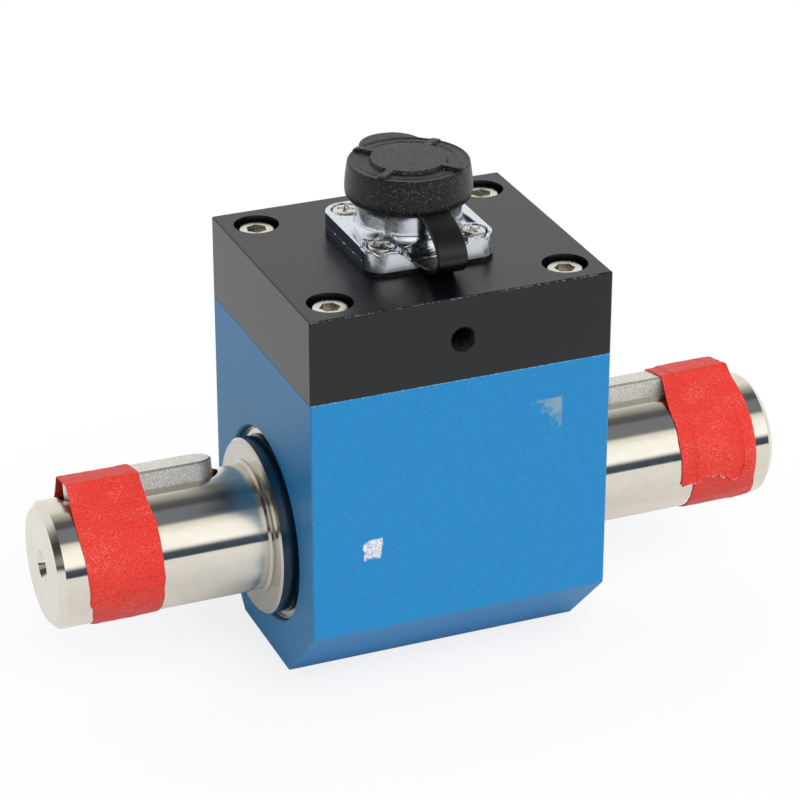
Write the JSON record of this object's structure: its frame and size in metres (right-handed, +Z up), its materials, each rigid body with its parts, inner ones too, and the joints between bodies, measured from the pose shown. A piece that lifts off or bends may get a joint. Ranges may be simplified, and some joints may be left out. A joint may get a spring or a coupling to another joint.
{
  "type": "dynamic torque sensor",
  "caption": "Shaft torque sensor: a keyed steel shaft turns on ball bearings in a blue box housing with a dark cover, a round connector and a rubber dust cap.",
  "frame": {"origin": "centre of the housing's underside", "axes": "+X along the shaft towards the end with two layers of tape, -Y towards the side with the tapped hole and the cap's strap, +Z up through the connector"},
  "size_m": [0.1634, 0.058, 0.1068],
  "materials": {
    "housing_anodised": "fine blasted and anodised blue",
    "cover_anodised": "fine blasted and anodised dark grey",
    "connector_plating": "die cast and bright plated",
    "connector_screw_steel": "bright plated steel",
    "screw_steel": "plated steel",
    "insert_plastic": "black moulded plastic",
    "contact_gold": "gold plated",
    "rubber": "black moulded rubber with a fine grain",
    "shaft_steel": "turned and ground bright steel",
    "collar_steel": "turned bright steel",
    "key_steel": "drawn key steel, dull",
    "bearing_steel": "ground bearing steel",
    "shield_steel": "pressed sheet steel",
    "ball_steel": "polished steel",
    "paper_tape": "red creped paper tape",
    "sleeve_aluminium": "turned aluminium",
    "coil_copper": "enamelled copper winding",
    "board_laminate": "green laminate",
    "chip_plastic": "black moulded packages",
    "standoff_brass": "turned brass",
    "gauge_film": "amber film"
  },
  "bodies": {
    "stator": {"housing": "housing_anodised", "top_cover": "cover_anodised", "cover_screw_1": "screw_steel", "cover_screw_2": "screw_steel", "cover_screw_3": "screw_steel", "cover_screw_4": "screw_steel", "connector_shell": "connector_plating", "connector_insert": "insert_plastic", "contact_pins": "contact_gold", "connector_gasket": "rubber", "connector_screw_1": "connector_screw_steel", "connector_screw_2": "connector_screw_steel", "connector_screw_3": "connector_screw_steel", "connector_screw_4": "connector_screw_steel", "cap_strap": "rubber", "bearing_outer_ring_left": "bearing_steel", "bearing_outer_ring_right": "bearing_steel", "bearing_shields_left": "shield_steel", "bearing_shields_right": "shield_steel", "stator_sleeve": "sleeve_aluminium", "stator_coil_left": "coil_copper", "stator_coil_right": "coil_copper", "circuit_board": "board_laminate", "board_components": "chip_plastic", "board_standoffs": "standoff_brass", "board_screws": "screw_steel"},
    "rotor": {"shaft": "shaft_steel", "key_left": "key_steel", "key_right": "key_steel", "tape_left": "paper_tape", "tape_right": "paper_tape", "collar_left": "collar_steel", "collar_right": "collar_steel", "bearing_inner_ring_left": "bearing_steel", "bearing_inner_ring_right": "bearing_steel", "rotor_coil_left": "coil_copper", "rotor_coil_right": "coil_copper", "rotor_circuit": "board_laminate", "strain_gauges": "gauge_film"},
    "balls_left": {"ball_train_left": "ball_steel"},
    "balls_right": {"ball_train_right": "ball_steel"},
    "cap": {"dust_cap": "rubber"}
  },
  "joints": [
    {"name": "rotor_turn", "type": "hinge", "parent": "stator", "child": "rotor", "pos_m": [0, 0, 0.0285], "axis": [1, 0, 0], "continuous": true},
    {"name": "balls_left_turn", "type": "hinge", "parent": "stator", "child": "balls_left", "pos_m": [0, 0, 0.0285], "axis": [1, 0, 0], "continuous": true},
    {"name": "balls_right_turn", "type": "hinge", "parent": "stator", "child": "balls_right", "pos_m": [0, 0, 0.0285], "axis": [1, 0, 0], "continuous": true},
    {"name": "cap_pull", "type": "slide", "parent": "stator", "child": "cap", "axis": [0, 0, 1], "range_m": [0, 0.012], "deforming": ["cap_strap"]}
  ],
  "couplings": [
    {"joint": "balls_left_turn", "follows": "rotor_turn", "ratio": 0.4528},
    {"joint": "balls_right_turn", "follows": "rotor_turn", "ratio": 0.4528}
  ]
}
